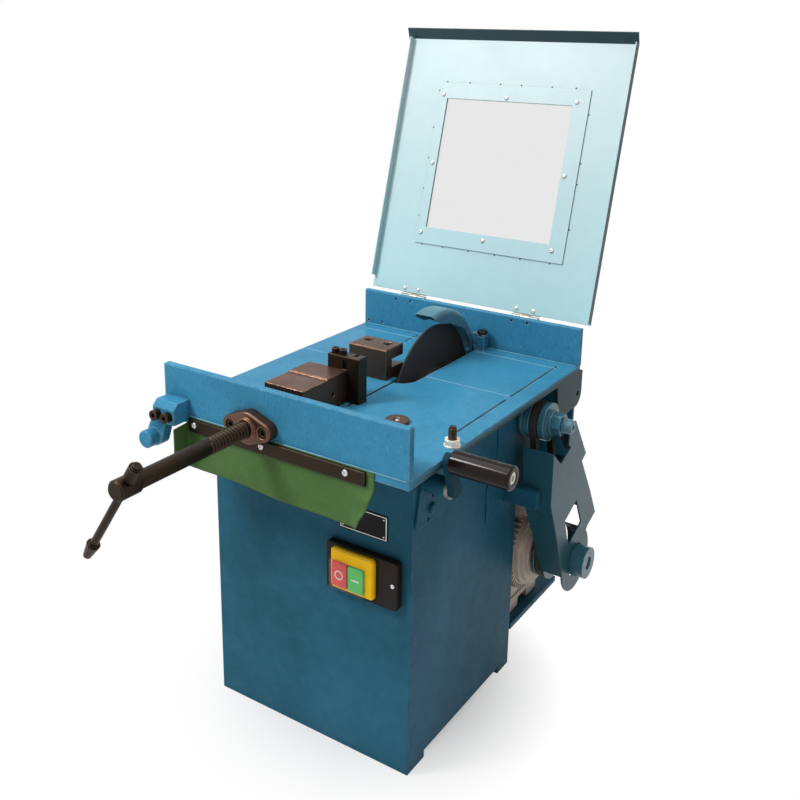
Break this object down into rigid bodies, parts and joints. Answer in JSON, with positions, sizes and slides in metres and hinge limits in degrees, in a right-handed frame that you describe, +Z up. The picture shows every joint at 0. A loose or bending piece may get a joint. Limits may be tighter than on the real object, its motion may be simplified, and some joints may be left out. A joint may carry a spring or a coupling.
{
  "type": "bar cutting machine",
  "caption": "Bench abrasive cut-off machine for bars: table with screw vice, belt-driven cutting wheel on a swinging motor head fed by a side lever, sheet cabinet and hinged windowed cover.",
  "frame": {"origin": "middle of the cabinet's four floor bolts, on the floor", "axes": "+X to the drive side on the right, +Y to the rear, +Z up"},
  "size_m": [0.455, 0.7725, 0.8814],
  "materials": {
    "blue_paint": "glossy enamel",
    "pale_paint": "satin enamel",
    "clear_sheet": "clear acrylic",
    "black_iron": "blackened, machined",
    "black_steel": "black oxide",
    "bright_steel": "zinc plated or bare",
    "abrasive": "resin-bonded abrasive",
    "belt_rubber": "worn",
    "flap_sheet": "rubberised sheet",
    "motor_alloy": "as cast",
    "fan_plastic": "moulded",
    "grip_plastic": "polished",
    "black_plastic": "moulded",
    "yellow_plastic": "moulded",
    "red_plastic": "moulded",
    "green_plastic": "moulded",
    "plate_metal": "dark anodised"
  },
  "bodies": {
    "base": {"cabinet_front": "blue_paint", "cabinet_left": "blue_paint", "cabinet_right": "blue_paint", "table": "blue_paint", "front_plate": "blue_paint", "rear_plate": "blue_paint", "shaft_bracket": "blue_paint", "fixed_jaw": "black_iron", "clamp_nut": "black_iron", "socket_screws": "black_steel", "splash_flap": "flap_sheet", "flap_strip": "black_steel", "pan_screws": "bright_steel", "stop_bracket": "blue_paint", "wheel_hood": "blue_paint", "hex_bolts": "bright_steel", "table_plug": "black_steel", "stop_stud": "black_steel", "stop_nut": "bright_steel", "nameplate": "plate_metal", "switch_plate": "black_plastic", "switch_bezel": "yellow_plastic", "pivot_shaft": "bright_steel", "stop_bar": "blue_paint", "hinge_lower_leaves": "bright_steel"},
    "safety_cover": {"cover_panel": "pale_paint", "window_frame": "pale_paint", "window_pane": "clear_sheet", "window_screws": "bright_steel", "hinge_upper_leaves": "bright_steel"},
    "moving_jaw": {"jaw_slide": "black_iron", "jaw_plate": "black_iron", "jaw_plate_screws": "black_steel"},
    "vice_screw": {"clamp_screw": "black_steel"},
    "vice_handle": {"tommy_bar": "black_steel"},
    "swing_head": {"swing_frame": "blue_paint", "spindle_housing": "blue_paint", "spindle_bearings": "bright_steel", "guard_bracket": "blue_paint", "belt_guard": "blue_paint", "drive_belt": "belt_rubber", "motor_body": "motor_alloy", "motor_end_shield": "motor_alloy", "fan_cover": "fan_plastic", "terminal_box": "motor_alloy", "motor_pads": "blue_paint"},
    "spindle": {"spindle_shaft": "bright_steel", "wheel_flanges": "bright_steel", "cutting_wheel": "abrasive", "spindle_nuts": "bright_steel", "spindle_pulley": "blue_paint"},
    "motor_rotor": {"motor_shaft": "bright_steel", "motor_pulley": "blue_paint"},
    "lever": {"feed_shaft": "bright_steel", "feed_lever": "blue_paint", "grip_bolt": "bright_steel"},
    "grip": {"feed_grip": "grip_plastic"},
    "link": {"feed_link": "bright_steel"},
    "off_button": {"stop_button": "red_plastic"},
    "on_button": {"start_button": "green_plastic"}
  },
  "joints": [
    {"name": "cover_hinge", "type": "hinge", "parent": "base", "child": "safety_cover", "pos_m": [0, 0.26, 0.478], "axis": [1, 0, 0], "range_deg": [0, 90]},
    {"name": "jaw_travel", "type": "slide", "parent": "base", "child": "moving_jaw", "axis": [0, -1, 0], "range_m": [-0.07, 0.045]},
    {"name": "screw_turn", "type": "hinge", "parent": "moving_jaw", "child": "vice_screw", "pos_m": [-0.03, -0.3, 0.438], "axis": [0, -1, 0], "range_deg": [-5041, 3241]},
    {"name": "handle_slide", "type": "slide", "parent": "vice_screw", "child": "vice_handle", "axis": [0.5592, 0, 0.829], "range_m": [0, 0.084]},
    {"name": "head_swing", "type": "hinge", "parent": "base", "child": "swing_head", "pos_m": [0, 0.1, 0.1], "axis": [1, 0, 0], "range_deg": [0, 9.8]},
    {"name": "spindle_spin", "type": "hinge", "parent": "swing_head", "child": "spindle", "pos_m": [0, 0.146, 0.378], "axis": [1, 0, 0], "continuous": true},
    {"name": "rotor_spin", "type": "hinge", "parent": "swing_head", "child": "motor_rotor", "pos_m": [0, 0.203, 0.155], "axis": [1, 0, 0], "continuous": true},
    {"name": "lever_turn", "type": "hinge", "parent": "base", "child": "lever", "pos_m": [0, -0.106, 0.382], "axis": [1, 0, 0], "range_deg": [0, 78]},
    {"name": "grip_spin", "type": "hinge", "parent": "lever", "child": "grip", "pos_m": [0.232, -0.1225, 0.4245], "axis": [1, 0, 0], "continuous": true},
    {"name": "link_turn", "type": "hinge", "parent": "swing_head", "child": "link", "pos_m": [0.11, 0.112, 0.262], "axis": [1, 0, 0], "range_deg": [-9.8, 0]},
    {"name": "off_press", "type": "slide", "parent": "base", "child": "off_button", "axis": [0, 1, 0], "range_m": [0, 0.003], "stiffness_N_per_m": 300},
    {"name": "on_press", "type": "slide", "parent": "base", "child": "on_button", "axis": [0, 1, 0], "range_m": [0, 0.003], "stiffness_N_per_m": 300}
  ],
  "couplings": [
    {"joint": "screw_turn", "follows": "jaw_travel", "rad_per_m": 1256.6},
    {"joint": "rotor_spin", "follows": "spindle_spin", "ratio": 0.64706},
    {"joint": "lever_turn", "follows": "head_swing", "ratio": 7.9592},
    {"joint": "link_turn", "follows": "head_swing", "ratio": -1}
  ]
}
